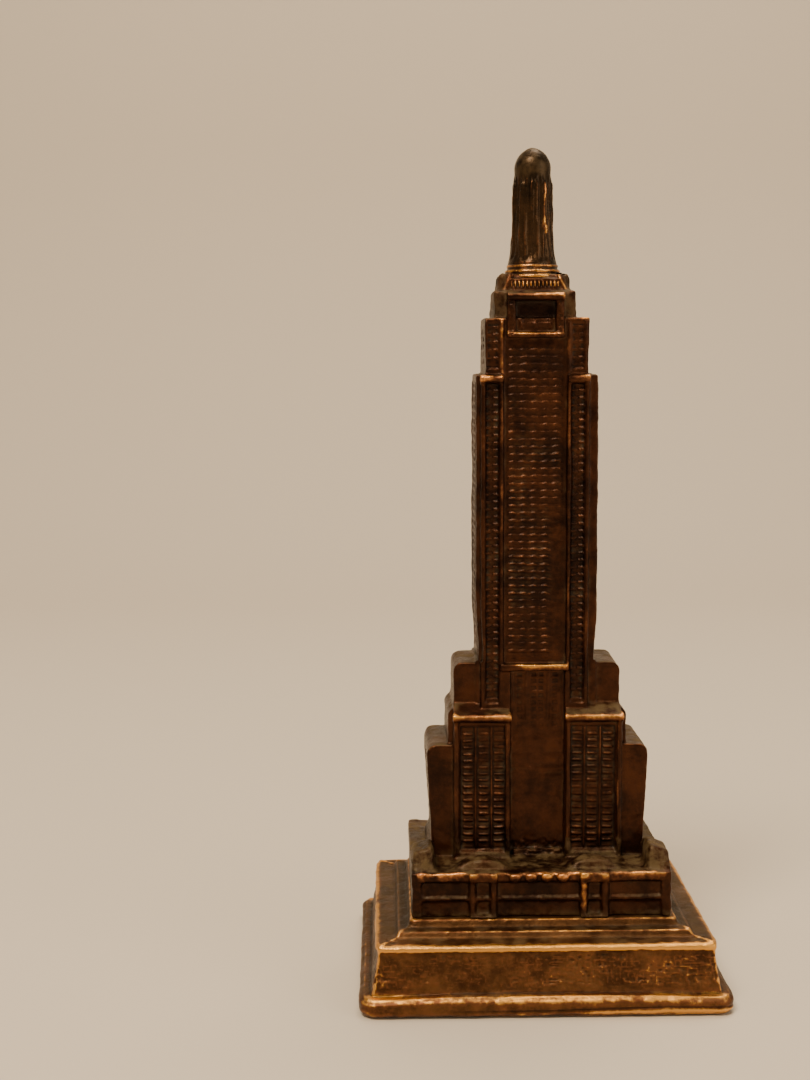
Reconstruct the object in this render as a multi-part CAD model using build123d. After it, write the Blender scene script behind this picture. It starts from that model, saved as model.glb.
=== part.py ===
from build123d import *
import math
import os

# Desk souvenir of a stepped tower building: a hollow cast tower screwed down on a hollow cast plinth.
# Millimetres. +Z is up, the front faces -Y, and the origin is the centre of the footprint on the table.

# ---- driving dimensions -------------------------------------------------------------------------
TOTAL_HEIGHT = 160.3
BASE_WIDTH = 70.0
BASE_DEPTH = 57.0
PAD_THICKNESS = 1.2
PAD_INSET = 1.6
PAD_CLEARANCE = 0.25
CARD_THICKNESS = 1.0
WALL = 2.6

# Plinth: two beads run together at the foot, a leaning band above them, a rim, then two low steps.
# The lower bead hangs round the pad and stays just clear of the table.
FOOT_CLEARANCE = 0.3
UPPER_BEAD_RADIUS = 1.5
LOWER_BEAD_RADIUS = 1.25
BAND_FOOT_INSET = 1.6
RIM_INSET = 3.75
RIM_HEIGHT = 12.9
RIM_BEAD = 1.3
STEP_INSETS = (7.55, 9.9)
STEP_HEIGHTS = (14.2, 15.7)
RISER_LEAN = 0.9

# Centrelines: the lower tiers and the upper tiers of the casting drift apart a little.
LOWER_X = -0.3
UPPER_X = -0.9

# Podium under the tower.
PODIUM_HALF_WIDTH = 24.0
PODIUM_FRONT = -17.6
PODIUM_BACK = 15.6
PODIUM_TOP = 24.5
LIP_HEIGHT = 1.8
LIP_OVERHANG = 0.7
WALL_BAND_FOOT = 19.0
WALL_BAND_HEIGHT = 0.7
TRIM_PROUD = 0.6
PIER_WIDTH = 1.9
CORNER_FOOT = (19.9, 24.6, -17.2, -9.0)
CORNER_TOP = (20.7, 24.4, -15.9, -9.4)
CORNER_RISE = 3.8

# Two porches with paired columns on the podium's front.
PORCH_OFFSET = 10.5
PORCH_HALF_WIDTH = 2.7
COLUMN_DIAMETER = 1.4
PORCH_ROOF_RISE = 2.1
PORCH_ROOF_REACH = 5.6
PORCH_ROOF_FRONT = -16.7
PORCH_ROOF_BACK = -13.2
SCALLOP_COUNT = 4
SCALLOP_PITCH = 3.0
SCALLOP_RADIUS = 1.05
SCALLOP_DROP = 0.9
SCALLOP_PROUD = 0.5

# Tiers: (half width, front, back, top). Each stands on the podium unless it says otherwise.
SIDE_WING = (21.3, -8.3, 8.6, 46.6)
MIDDLE_TIER = (17.3, -7.2, 7.4, 53.8)
UPPER_WING = (16.1, -6.3, 6.3, 62.4)
WING_ROUND = 1.8

# Front and back blocks stand forward of the tiers on both sides of the entrance bay.
BLOCK_INNER = 5.3
BLOCK_OUTER = 16.2
BLOCK_REACH = 9.9
BLOCK_TOP = 53.0
BLOCK_PANEL_DEPTH = 0.5
ROLL_RADIUS = 0.85
ROLL_PROUD = 0.55

# Shaft: a wide body with a narrower bay standing proud of it at front and back.
BODY_HALF_WIDTH = 11.6
BODY_REACH = 6.7
BODY_TOP = 117.6
BAY_HALF_WIDTH = 10.3
BAY_REACH = 8.2
RECESS_HALF_WIDTH = 6.0
RECESS_DEPTH = 0.9
RECESS_FOOT = 62.4
SILL_HEIGHT = 1.3
SILL_PROUD = 0.5
ENTRANCE_HALF_WIDTH = 5.2
PANEL_DEPTH = 0.45

# Shoulders and crown above the shaft: (half width, reach, top).
SHOULDER = (9.8, 7.5, 128.2)
CROWN = (7.7, 6.6, 133.2)
CROWN_CAP = (6.7, 5.6, 135.4)
DENTIL_COUNT = 13
DENTIL_PITCH = 0.66
DENTIL_WIDTH = 0.38
DENTIL_PROUD = 0.55
TURRET_RADIUS = 1.35
TURRET_PLACE = (5.5, 4.5)
TURRET_TOP = 136.6
NICHE_HALF_WIDTH = 3.8
NICHE_FRAME = 1.5
NICHE_FOOT = 125.6
NICHE_TOP = 131.4
NICHE_DEPTH = 1.9
LINTEL_RADIUS = 0.75
NICHE_SILL_RADIUS = 0.6

# Mast, seated on the crown by a spigot.
MAST_COLLARS = ((5.6, 0.55), (5.45, 0.55), (5.25, 0.5), (5.05, 0.5), (4.85, 0.45))
MAST_NECK_RADIUS = 4.25
MAST_RADIUS = 3.7
DOME_RADIUS = 3.45
DOME_HEIGHT = 4.6
RIB_COUNT = 10
RIB_WIDTH = 0.9
RIB_REACH = 4.0
RIB_START = 2.4
RIB_STOP = 2.0
SPIGOT_DIAMETER = 5.0
SPIGOT_LENGTH = 6.0
SPIGOT_CLEARANCE = 0.05

# Two tie screws come up through the plinth's top into bosses inside the podium.
SCREW_OFFSET = 14.0
SCREW_DIAMETER = 2.9
SCREW_GRIP = 6.5
SCREW_CLEARANCE = 0.25
THREAD_CLEARANCE = 0.05
HEAD_DIAMETER = 5.6
HEAD_HEIGHT = 1.9
SLOT_WIDTH = 0.8
SLOT_DEPTH = 0.9
WASHER_DIAMETER = 7.0
WASHER_THICKNESS = 0.5
BOSS_DIAMETER = 6.4

PLINTH_TOP = STEP_HEIGHTS[1]
METAL_FOOT = PAD_THICKNESS
TOP_PLATE = 2.8


def block(x0, x1, y0, y1, z0, z1):
    """A box between opposite corners."""
    box = Box(x1 - x0, y1 - y0, z1 - z0, align=(Align.MIN, Align.MIN, Align.MIN))
    return Pos(x0, y0, z0) * box


def tier(centre_x, half_width, front, back, foot, top):
    """A box centred on a centreline."""
    return block(centre_x - half_width, centre_x + half_width, front, back, foot, top)


def slab(half_width, half_depth, height, corner):
    """A horizontal outline with rounded corners at one height."""
    return Pos(0, 0, height) * RectangleRounded(2 * half_width, 2 * half_depth, corner)


def frustum(lower, upper):
    """A leaning wall between two outlines, each (half width, half depth, height, corner)."""
    return loft([slab(*lower), slab(*upper)])


def ring_bead(half_width, half_depth, height, radius, corner):
    """A round moulding that runs all the way round."""
    path = slab(half_width, half_depth, height, corner).wire()
    start = path @ 0
    section = Plane(origin=start, z_dir=path % 0) * Circle(radius)
    return sweep(section, path=path)


# ---- plinth -------------------------------------------------------------------------------------
def plinth_outer():
    """The plinth's outside, from the bead up to the top step."""
    half_w = BASE_WIDTH / 2
    half_d = BASE_DEPTH / 2
    foot = (half_w - BAND_FOOT_INSET, half_d - BAND_FOOT_INSET, FOOT_CLEARANCE, 1.6)
    rim = (half_w - RIM_INSET, half_d - RIM_INSET, RIM_HEIGHT, 1.6)
    body = frustum(foot, rim)
    for radius, underside in ((UPPER_BEAD_RADIUS, METAL_FOOT), (LOWER_BEAD_RADIUS, FOOT_CLEARANCE)):
        body += ring_bead(half_w - radius, half_d - radius, underside + radius, radius, 2.0)
    rim_r = RIM_BEAD / 2
    body += ring_bead(rim[0] - 0.1, rim[1] - 0.1, RIM_HEIGHT - rim_r, rim_r, 1.6)
    below = RIM_HEIGHT - 0.6
    for inset, top in zip(STEP_INSETS, STEP_HEIGHTS):
        lower = (half_w - inset + RISER_LEAN, half_d - inset + RISER_LEAN, below, 1.0)
        upper = (half_w - inset, half_d - inset, top, 1.0)
        body += frustum(lower, upper)
        below = top - 0.6
    return body


def plinth_hollow():
    """The hollow under the plinth, with a wider pocket at its mouth for the card."""
    half_w = BASE_WIDTH / 2 - WALL - 0.8
    half_d = BASE_DEPTH / 2 - WALL - 0.8
    ceiling = PLINTH_TOP - TOP_PLATE
    mouth = (half_w, half_d, METAL_FOOT - 0.1, 1.5)
    shoulder = (half_w - 2.2, half_d - 2.2, RIM_HEIGHT - TOP_PLATE, 1.5)
    attic = (half_w - 6.6, half_d - 6.6, ceiling, 1.0)
    return frustum(mouth, shoulder) + frustum(shoulder, attic)


def card_outline(clearance):
    """The pocket for the card, or the card itself with some clearance taken off."""
    half_w = BASE_WIDTH / 2 - WALL + 0.2 - clearance
    half_d = BASE_DEPTH / 2 - WALL + 0.2 - clearance
    return half_w, half_d


def pad_outline(clearance):
    """The pad's flat shape, or the recess for it with some clearance added."""
    half_w = BASE_WIDTH / 2 - PAD_INSET + clearance
    half_d = BASE_DEPTH / 2 - PAD_INSET + clearance
    return RectangleRounded(2 * half_w, 2 * half_d, 2.0 + clearance)


def plinth_casting():
    half_w, half_d = card_outline(0.0)
    body = plinth_outer() - plinth_hollow()
    body -= extrude(pad_outline(PAD_CLEARANCE), METAL_FOOT)
    body -= block(-half_w, half_w, -half_d, half_d, METAL_FOOT - 0.1, METAL_FOOT + CARD_THICKNESS)
    for x in screw_places():
        hole = Cylinder(SCREW_DIAMETER / 2 + SCREW_CLEARANCE, 8)
        body -= Pos(x, 0, PLINTH_TOP) * hole
    return body


# ---- tower --------------------------------------------------------------------------------------
def podium():
    """The low podium: walls with a band and corner piers, and an overhanging lip."""
    half = PODIUM_HALF_WIDTH
    body = tier(LOWER_X, half, PODIUM_FRONT, PODIUM_BACK, PLINTH_TOP, PODIUM_TOP)
    y0 = PODIUM_FRONT - TRIM_PROUD
    y1 = PODIUM_BACK + TRIM_PROUD
    trim = half + TRIM_PROUD
    body += tier(LOWER_X, trim, y0, y1, WALL_BAND_FOOT, WALL_BAND_FOOT + WALL_BAND_HEIGHT)
    for x in (LOWER_X - trim, LOWER_X + trim - PIER_WIDTH):
        body += block(x, x + PIER_WIDTH, y0, y1, PLINTH_TOP, PODIUM_TOP - 1)
    lip_w = half + LIP_OVERHANG
    lip_y0 = PODIUM_FRONT - LIP_OVERHANG
    lip_y1 = PODIUM_BACK + LIP_OVERHANG
    lip = tier(LOWER_X, lip_w, lip_y0, lip_y1, PODIUM_TOP - LIP_HEIGHT, PODIUM_TOP)
    return body + fillet(lip.edges().filter_by(Axis.Z), 0.6)


def corner_outline(outline, side, height):
    """One level of a corner pedestal, given as (inner, outer, front, back), on the left or right."""
    inner, outer, front, back = outline
    centre = Pos(LOWER_X + side * (inner + outer) / 2, (front + back) / 2, height)
    return centre * Rectangle(outer - inner, back - front)


def corner_pedestals():
    """The low raised pedestals on the podium's front corners, which narrow upwards."""
    body = []
    for side in (-1, 1):
        foot = corner_outline(CORNER_FOOT, side, PODIUM_TOP - 0.4)
        top = corner_outline(CORNER_TOP, side, PODIUM_TOP + CORNER_RISE)
        body.append(loft([foot, top]))
    return body


def porch(centre_x):
    """One porch: two columns, the lintel over them and a low round roof behind it."""
    wall_y = PODIUM_FRONT
    lintel_z = PODIUM_TOP - LIP_HEIGHT
    body = tier(centre_x, PORCH_HALF_WIDTH, wall_y - 1.3, wall_y + 0.5, lintel_z, PODIUM_TOP + 0.2)
    body += tier(centre_x, PORCH_HALF_WIDTH, wall_y - 1.3, wall_y + 0.5, PLINTH_TOP, PLINTH_TOP + 0.6)
    for side in (-1, 1):
        x = centre_x + side * (PORCH_HALF_WIDTH - COLUMN_DIAMETER / 2)
        height = lintel_z - PLINTH_TOP + 0.2
        column = Cylinder(COLUMN_DIAMETER / 2, height, align=(Align.CENTER, Align.CENTER, Align.MIN))
        body += Pos(x, wall_y - 0.5, PLINTH_TOP) * column
    left = (centre_x - PORCH_ROOF_REACH, PODIUM_TOP - 0.1)
    right = (centre_x + PORCH_ROOF_REACH, PODIUM_TOP - 0.1)
    crest = (centre_x, PODIUM_TOP + PORCH_ROOF_RISE)
    outline = ThreePointArc(left, crest, right) + Line(right, left)
    gable = make_face(Plane.XZ.offset(-PORCH_ROOF_FRONT) * outline)
    body += extrude(gable, PORCH_ROOF_BACK - PORCH_ROOF_FRONT, dir=(0, 1, 0))
    return body


def scallops():
    """The row of round scallops that hang along the podium's lip between the porches."""
    body = []
    thickness = 2 * SCALLOP_PROUD
    for i in range(SCALLOP_COUNT):
        x = UPPER_X + SCALLOP_PITCH * (i - (SCALLOP_COUNT - 1) / 2)
        disc = Rot(90, 0, 0) * Cylinder(SCALLOP_RADIUS, thickness)
        body.append(Pos(x, PODIUM_FRONT - LIP_OVERHANG, PODIUM_TOP - SCALLOP_DROP) * disc)
    return body


def doorstep():
    """The low step at the foot of the entrance bay."""
    floor = -(BAY_REACH - RECESS_DEPTH)
    half = ENTRANCE_HALF_WIDTH - 0.5
    return tier(LOWER_X, half, floor - 0.7, floor + 0.5, PODIUM_TOP - 0.3, PODIUM_TOP + 1.2)


def roll(x0, x1, y, z, radius=ROLL_RADIUS):
    """A round moulding along X."""
    bar = Rot(0, 90, 0) * Cylinder(radius, x1 - x0)
    return Pos((x0 + x1) / 2, y, z) * bar


def ledge_rolls(face):
    """The rolls along the tops of the blocks and outer strips, and over and under the niche."""
    body = []
    sink = ROLL_RADIUS - ROLL_PROUD
    for side in (-1, 1):
        ends = (LOWER_X + side * (BLOCK_INNER - 0.2), LOWER_X + side * (BLOCK_OUTER + 0.2))
        z = BLOCK_TOP - ROLL_RADIUS + 0.1
        body.append(roll(min(ends), max(ends), face * (BLOCK_REACH - sink), z))
        ends = (UPPER_X + side * RECESS_HALF_WIDTH, UPPER_X + side * (BAY_HALF_WIDTH + 0.2))
        z = BODY_TOP - ROLL_RADIUS + 0.1
        body.append(roll(min(ends), max(ends), face * (BAY_REACH - sink), z))
    y = face * (BAY_REACH + 0.1)
    half = NICHE_HALF_WIDTH + NICHE_FRAME + 0.1
    body.append(roll(UPPER_X - half, UPPER_X + half, y, NICHE_TOP + NICHE_FRAME / 2, LINTEL_RADIUS))
    body.append(roll(UPPER_X - half, UPPER_X + half, y, NICHE_FOOT - NICHE_SILL_RADIUS, NICHE_SILL_RADIUS))
    return body


def wing(centre_x, half_width, front, back, top):
    """A plain tier whose upper long edges are rounded."""
    body = tier(centre_x, half_width, front, back, PODIUM_TOP - 0.5, top)
    ends = body.edges().filter_by(Axis.Y).group_by(Axis.Z)[-1]
    return fillet(ends, WING_ROUND)


def corner_blocks():
    """Four blocks, two at the front and two at the back, with sloping tops and sunk panels."""
    body = []
    for face in (-1, 1):
        for side in (-1, 1):
            inner = LOWER_X + side * BLOCK_INNER
            outer = LOWER_X + side * BLOCK_OUTER
            x0 = min(inner, outer)
            x1 = max(inner, outer)
            profile = Polyline(
                (0, PODIUM_TOP - 0.5),
                (face * BLOCK_REACH, PODIUM_TOP - 0.5),
                (face * BLOCK_REACH, BLOCK_TOP),
                (face * (BODY_REACH - 0.5), BLOCK_TOP + 1.6),
                (0, BLOCK_TOP + 1.6),
                close=True,
            )
            side_view = make_face(Plane.YZ.offset(x0) * profile)
            piece = extrude(side_view, x1 - x0, dir=(1, 0, 0))
            panel_x0 = x0 + 1.0
            panel_x1 = x1 - 1.0
            y_face = face * BLOCK_REACH
            y_floor = face * (BLOCK_REACH - BLOCK_PANEL_DEPTH)
            y0 = min(y_face, y_floor)
            y1 = max(y_face, y_floor)
            piece -= block(panel_x0, panel_x1, y0, y1, PODIUM_TOP + 1.2, BLOCK_TOP - 1.3)
            body.append(piece)
    return body


def bay_cuts(face):
    """What is cut from one bay of the shaft: the long recess, the entrance bay and two side panels."""
    outside = face * (BAY_REACH + 1.0)
    floor = face * (BAY_REACH - RECESS_DEPTH)
    panel = face * (BAY_REACH - PANEL_DEPTH)
    y0 = min(outside, floor)
    y1 = max(outside, floor)
    half = RECESS_HALF_WIDTH
    cuts = [tier(UPPER_X, half, y0, y1, RECESS_FOOT, NICHE_FOOT - 1.0)]
    low = ENTRANCE_HALF_WIDTH
    cuts.append(tier(LOWER_X, low, y0, y1, PODIUM_TOP + 0.1, RECESS_FOOT - SILL_HEIGHT))
    y0 = min(outside, panel)
    y1 = max(outside, panel)
    panel_half = (BAY_HALF_WIDTH - RECESS_HALF_WIDTH) / 2 - 0.75
    for side in (-1, 1):
        centre = UPPER_X + side * (BAY_HALF_WIDTH + RECESS_HALF_WIDTH) / 2
        cuts.append(tier(centre, panel_half, y0, y1, BLOCK_TOP + 1.7, BODY_TOP - 1.6))
    return cuts


def shaft():
    """The wide body with its proud front and back bays, the shoulders and the crown."""
    body = tier(LOWER_X - 0.15, BODY_HALF_WIDTH, -BODY_REACH, BODY_REACH, PODIUM_TOP - 0.5, BODY_TOP)
    body += tier(UPPER_X, BAY_HALF_WIDTH, -BAY_REACH, BAY_REACH, PODIUM_TOP - 0.5, BODY_TOP)
    half, reach, top = SHOULDER
    body += tier(UPPER_X + 0.3, half, -reach, reach, BODY_TOP - 1, top)
    half, reach, top = CROWN
    body += tier(UPPER_X, half, -reach, reach, BODY_TOP, top)
    half, reach, top = CROWN_CAP
    body += tier(UPPER_X, half, -reach, reach, BODY_TOP, top)
    return body


def niche_frame(face):
    """The raised frame round the niche that looks out over the shaft."""
    y_back = face * (SHOULDER[1] - 2.5)
    y_front = face * (BAY_REACH + 0.1)
    y0 = min(y_back, y_front)
    y1 = max(y_back, y_front)
    half = NICHE_HALF_WIDTH + NICHE_FRAME
    body = tier(UPPER_X, half, y0, y1, NICHE_FOOT - 0.7, NICHE_TOP + NICHE_FRAME)
    floor = face * (BAY_REACH + 0.1 - NICHE_DEPTH)
    outside = face * (BAY_REACH + 1.0)
    cut_y0 = min(floor, outside)
    cut_y1 = max(floor, outside)
    body -= tier(UPPER_X, NICHE_HALF_WIDTH, cut_y0, cut_y1, NICHE_FOOT, NICHE_TOP)
    return body


def sill(face):
    """The sill that closes the foot of the long recess."""
    y_back = face * (BAY_REACH - 1.5)
    y_front = face * (BAY_REACH + SILL_PROUD)
    y0 = min(y_back, y_front)
    y1 = max(y_back, y_front)
    half = RECESS_HALF_WIDTH + 0.6
    return tier(UPPER_X, half, y0, y1, RECESS_FOOT - SILL_HEIGHT, RECESS_FOOT)


def dentils(face):
    """The row of small teeth across the front of the crown."""
    body = []
    y_front = face * (CROWN_CAP[1] + DENTIL_PROUD)
    y_back = face * (CROWN_CAP[1] - 0.5)
    y0 = min(y_front, y_back)
    y1 = max(y_front, y_back)
    for i in range(DENTIL_COUNT):
        x = UPPER_X + DENTIL_PITCH * (i - (DENTIL_COUNT - 1) / 2)
        body.append(tier(x, DENTIL_WIDTH / 2, y0, y1, CROWN[2] - 0.1, CROWN_CAP[2] - 0.5))
    return body


def turrets():
    """Four round-topped turrets on the crown's corners, close round the foot of the mast."""
    height = TURRET_TOP - CROWN[2] + 0.5
    body = []
    for x_side in (-1, 1):
        for y_side in (-1, 1):
            post = Cylinder(TURRET_RADIUS, height, align=(Align.CENTER, Align.CENTER, Align.MAX))
            post = fillet(post.edges().group_by(Axis.Z)[-1], 0.8)
            x = UPPER_X + x_side * TURRET_PLACE[0]
            body.append(Pos(x, y_side * TURRET_PLACE[1], TURRET_TOP) * post)
    return body


def tower_hollow():
    """The hollow that the metal leaves when the shell is poured out, tier by tier."""
    floor = PLINTH_TOP - 0.1
    y0 = PODIUM_FRONT + WALL
    y1 = PODIUM_BACK - WALL
    roof = PODIUM_TOP - WALL
    body = tier(LOWER_X, PODIUM_HALF_WIDTH - WALL, y0, y1, floor, roof)
    half, front, back, top = SIDE_WING
    body += tier(LOWER_X, half - WALL, front + WALL, back - WALL, floor, top - WALL)
    half, front, back, top = UPPER_WING
    body += tier(LOWER_X, half - WALL, front + WALL, back - WALL, floor, top - WALL)
    half = BODY_HALF_WIDTH - WALL
    reach = BODY_REACH - WALL
    body += tier(LOWER_X - 0.15, half, -reach, reach, floor, BODY_TOP - WALL)
    return body


def screw_bosses():
    """Posts inside the hollow that the tie screws bite into."""
    body = []
    for x in screw_places():
        height = SCREW_GRIP + 1.8
        post = Cylinder(BOSS_DIAMETER / 2, height, align=(Align.CENTER, Align.CENTER, Align.MIN))
        web = block(x - 0.9, x + 0.9, -BLOCK_REACH, BLOCK_REACH, PLINTH_TOP + 1.0, PLINTH_TOP + height)
        body.append(Pos(x, 0, PLINTH_TOP) * post)
        body.append(web)
    return body


def boss_holes():
    """The tapped holes in the bosses."""
    holes = []
    for x in screw_places():
        radius = SCREW_DIAMETER / 2 + THREAD_CLEARANCE
        depth = SCREW_GRIP + 0.6
        hole = Cylinder(radius, depth + 0.1, align=(Align.CENTER, Align.CENTER, Align.MIN))
        holes.append(Pos(x, 0, PLINTH_TOP - 0.1) * hole)
    return holes


def mast_socket():
    """The blind socket in the crown that takes the mast's spigot."""
    radius = SPIGOT_DIAMETER / 2 + SPIGOT_CLEARANCE
    depth = SPIGOT_LENGTH + 0.3
    hole = Cylinder(radius, depth, align=(Align.CENTER, Align.CENTER, Align.MAX))
    return Pos(UPPER_X, 0, CROWN_CAP[2]) * hole


def tower_casting():
    body = podium()
    for side in (-1, 1):
        body += porch(UPPER_X + side * PORCH_OFFSET)
    body += scallops()
    body += corner_pedestals()
    for half, front, back, top in (SIDE_WING, MIDDLE_TIER, UPPER_WING):
        body += wing(LOWER_X, half, front, back, top)
    body += corner_blocks()
    body += shaft()
    for face in (-1, 1):
        body -= bay_cuts(face)
        body += [niche_frame(face), sill(face)]
        body += ledge_rolls(face)
        body += dentils(face)
    body += turrets()
    body += doorstep()
    body -= tower_hollow()
    body += screw_bosses()
    body -= boss_holes()
    body -= mast_socket()
    return body


# ---- mast ---------------------------------------------------------------------------------------
def mast_shaft():
    """The spigot, the collars, the flared neck and the slim shaft, turned about the mast's axis."""
    foot = CROWN_CAP[2]
    points = [(0, foot - SPIGOT_LENGTH)]
    points.append((SPIGOT_DIAMETER / 2, foot - SPIGOT_LENGTH))
    points.append((SPIGOT_DIAMETER / 2, foot))
    z = foot
    for radius, height in MAST_COLLARS:
        points.append((radius, z))
        z += height
        points.append((radius, z))
    points.append((MAST_NECK_RADIUS, z + 1.9))
    points.append((MAST_RADIUS, z + 6.9))
    points.append((DOME_RADIUS, TOTAL_HEIGHT - DOME_HEIGHT))
    points.append((0, TOTAL_HEIGHT - DOME_HEIGHT))
    return revolve(make_face(Plane.XZ * Polyline(*points, close=True)), Axis.Z)


def mast_dome():
    """The smooth dome on top of the shaft."""
    foot = TOTAL_HEIGHT - DOME_HEIGHT
    slant = math.radians(45)
    shoulder = (DOME_RADIUS * math.cos(slant), foot + DOME_HEIGHT * math.sin(slant))
    curve = ThreePointArc((DOME_RADIUS, foot), shoulder, (0, TOTAL_HEIGHT))
    section = Plane.XZ * (curve + Polyline((0, TOTAL_HEIGHT), (0, foot), (DOME_RADIUS, foot)))
    return revolve(make_face(section), Axis.Z)


def mast_ribs():
    """The upright ribs round the shaft, each one half of a bar that runs right across it."""
    foot = CROWN_CAP[2] + sum(height for _, height in MAST_COLLARS) + RIB_START
    top = TOTAL_HEIGHT - DOME_HEIGHT - RIB_STOP
    half = RIB_WIDTH / 2
    bar = block(-RIB_REACH, RIB_REACH, -half, half, foot, top)
    step = 360 / RIB_COUNT
    star = Rot(0, 0, step / 2) * bar
    for i in range(1, RIB_COUNT // 2):
        star += Rot(0, 0, step * (i + 0.5)) * bar
    return star


def mast_casting():
    return Pos(UPPER_X, 0, 0) * (mast_shaft() + mast_ribs() + mast_dome())


# ---- fixings, card and pad ----------------------------------------------------------------------
def screw_places():
    """Where the two tie screws stand, left and right of the tower's centreline."""
    return [LOWER_X - SCREW_OFFSET, LOWER_X + SCREW_OFFSET]


def tie_screw():
    """One slotted pan-head screw, its point up and its head at the bottom."""
    shank = Cylinder(SCREW_DIAMETER / 2, TOP_PLATE + WASHER_THICKNESS + SCREW_GRIP)
    shank = Pos(0, 0, (TOP_PLATE + WASHER_THICKNESS + SCREW_GRIP) / 2) * shank
    head = Pos(0, 0, -HEAD_HEIGHT / 2) * Cylinder(HEAD_DIAMETER / 2, HEAD_HEIGHT)
    head = fillet(head.edges().group_by(Axis.Z)[0], 0.6)
    slot = Pos(0, 0, -HEAD_HEIGHT + SLOT_DEPTH / 2) * Box(HEAD_DIAMETER + 1, SLOT_WIDTH, SLOT_DEPTH)
    point = chamfer((shank + head).edges().group_by(Axis.Z)[-1], 0.5)
    return point - slot


def tie_screws():
    """Both tie screws, their heads drawn up on the washers inside the plinth."""
    head_seat = PLINTH_TOP - TOP_PLATE - WASHER_THICKNESS
    return [Pos(x, 0, head_seat) * tie_screw() for x in screw_places()]


def tie_washers():
    """A plain washer for each tie screw."""
    outer = Cylinder(WASHER_DIAMETER / 2, WASHER_THICKNESS)
    inner = Cylinder(SCREW_DIAMETER / 2 + 0.15, WASHER_THICKNESS + 1)
    seat = PLINTH_TOP - TOP_PLATE - WASHER_THICKNESS / 2
    return [Pos(x, 0, seat) * (outer - inner) for x in screw_places()]


def base_card():
    """The stiff card that closes the hollow and carries the pad."""
    half_w, half_d = card_outline(0.2)
    middle = METAL_FOOT + CARD_THICKNESS / 2
    return Pos(0, 0, middle) * Box(2 * half_w, 2 * half_d, CARD_THICKNESS)


def felt_pad():
    """The thin pad that the souvenir stands on, let into the plinth inside the lower bead."""
    return extrude(pad_outline(0.0), PAD_THICKNESS)


NODES = {
    "plinth_casting": plinth_casting,
    "tower_casting": tower_casting,
    "mast_casting": mast_casting,
    "tie_screws": tie_screws,
    "tie_washers": tie_washers,
    "base_card": base_card,
    "felt_pad": felt_pad,
}

os.makedirs("parts", exist_ok=True)
for name, make in NODES.items():
    shape = make()
    if isinstance(shape, list):
        shape = Compound(children=shape)
    export_step(shape, f"parts/{name}.step")
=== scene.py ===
import math

import bmesh
import bpy
import numpy as np
from mathutils import Matrix, Vector


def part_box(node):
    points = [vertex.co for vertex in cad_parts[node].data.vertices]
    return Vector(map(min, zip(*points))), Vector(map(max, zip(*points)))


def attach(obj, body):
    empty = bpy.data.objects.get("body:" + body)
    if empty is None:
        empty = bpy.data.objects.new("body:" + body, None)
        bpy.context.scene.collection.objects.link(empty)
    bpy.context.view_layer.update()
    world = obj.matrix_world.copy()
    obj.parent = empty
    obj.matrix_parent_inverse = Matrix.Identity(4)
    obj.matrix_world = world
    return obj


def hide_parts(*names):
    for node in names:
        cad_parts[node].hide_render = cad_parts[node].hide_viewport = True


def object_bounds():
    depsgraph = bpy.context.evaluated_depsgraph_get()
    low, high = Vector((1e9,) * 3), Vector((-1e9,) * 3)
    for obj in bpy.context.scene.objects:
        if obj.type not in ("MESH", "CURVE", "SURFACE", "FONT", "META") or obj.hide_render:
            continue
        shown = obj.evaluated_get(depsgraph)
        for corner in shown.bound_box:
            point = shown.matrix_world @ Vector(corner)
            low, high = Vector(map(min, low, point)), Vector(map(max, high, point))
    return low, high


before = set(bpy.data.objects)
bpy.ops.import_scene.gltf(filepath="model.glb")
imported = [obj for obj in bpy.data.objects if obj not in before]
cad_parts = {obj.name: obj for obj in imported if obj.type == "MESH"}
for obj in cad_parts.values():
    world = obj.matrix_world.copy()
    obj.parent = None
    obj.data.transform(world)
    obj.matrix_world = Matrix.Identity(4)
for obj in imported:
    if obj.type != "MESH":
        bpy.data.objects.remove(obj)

CAD_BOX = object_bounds()
MM = 0.001

# ---- driving values, in millimetres unless they say otherwise ------------------------------------
TOWER_VOXEL = 0.175
PLINTH_VOXEL = 0.24
MAST_VOXEL = 0.14
TOWER_TRIANGLES = 480000
PLINTH_TRIANGLES = 260000
MAST_TRIANGLES = 90000

LOWER_X = -0.3
UPPER_X = -0.9
PODIUM_TOP = 24.5
BLOCK_TOP = 53.0
BODY_TOP = 117.6
ROW_PITCH = 1.4
BLOCK_ROW_PITCH = 1.32
RECESS_COLUMN_PITCH = 2.05
DENTIL_PITCH = 0.74
SCALLOP_PITCH = 3.0
RING_PITCH = 0.95
LOWEST_RING = 136.15
CAP_TOP = 135.4
MAST_RADIUS = 3.7
RIM_TOP = 12.9

# Levels on the tower, and places of small features measured from the two centrelines.
RECESS_SILL = 62.1
SHOULDER_TOP = 128.2
NICHE_SILL = 125.5
NICHE_LINTEL = 132.7
ENTRANCE_TOP = 61.4
ROW_WANDER = 0.16
RECESS_COLUMNS = 5
STRIP_LINE = 6.3
SCALLOP_COUNT = 4
PORCH_AT = 10.5
PORCH_COLUMN_AT = 1.9
BLOCK_PANES = (7.55, 10.45, 13.45)
BLOCK_MULLIONS = (8.95, 12.0)
BLOCK_EDGES = (5.75, 15.6)
BRIGHT_MULLIONS = (-15.9, -6.1, 5.6, 15.3)
BRIGHT_COLUMN = 8.6
DRIP_BEARING = -58
DRIP_DROP = 145.4
FLUTE_COUNT = 22
DOME_FOOT = 153.5
MITRE_OFFSET = 6.5

# Mesh work.
RELAX_SHARE = 0.6
WELD_GAP = 0.002
BOX_INSET = 0.01
PAD_CORNER = 2.0
PAD_POINTS = 220
PAD_RINGS = 26

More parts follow.
